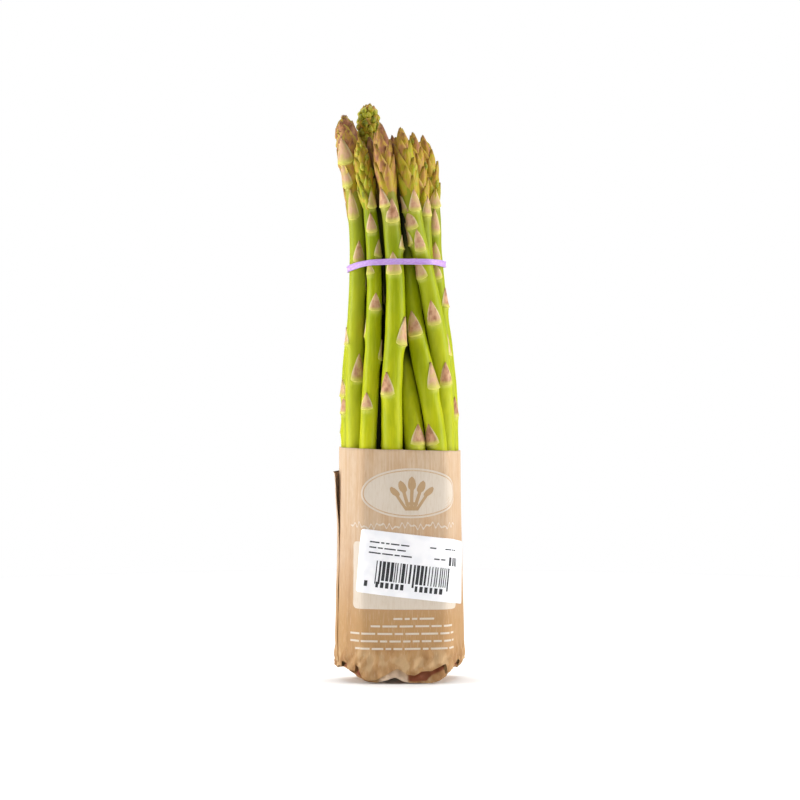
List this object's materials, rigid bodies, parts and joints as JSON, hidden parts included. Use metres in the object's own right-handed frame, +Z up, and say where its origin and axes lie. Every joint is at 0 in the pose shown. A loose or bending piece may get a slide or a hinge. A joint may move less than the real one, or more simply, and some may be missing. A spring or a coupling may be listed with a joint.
{
  "type": "asparagus bundle",
  "caption": "Upright bundle of green asparagus spears held by a flat rubber band, its lower part in a folded kraft-paper sleeve with a stuck-on label.",
  "frame": {"origin": "middle of the flat bottom of the paper sleeve, on the surface it stands on", "axes": "+Z up along the spears towards their heads, -Y towards the labelled front, +X to the right seen from the front"},
  "size_m": [0.0585, 0.0368, 0.258],
  "materials": {
    "asparagus": "satin",
    "kraft_paper": "matte",
    "label_paper": "satin",
    "rubber_band": "matte"
  },
  "bodies": {
    "root": {"spear_01": "asparagus", "spear_02": "asparagus", "spear_03": "asparagus", "spear_04": "asparagus", "spear_05": "asparagus", "spear_06": "asparagus", "spear_07": "asparagus", "spear_08": "asparagus", "spear_09": "asparagus", "spear_10": "asparagus", "spear_11": "asparagus", "spear_12": "asparagus", "spear_13": "asparagus", "spear_14": "asparagus", "spear_15": "asparagus", "paper_sleeve": "kraft_paper", "rubber_band": "rubber_band", "label": "label_paper"}
  },
  "joints": []
}
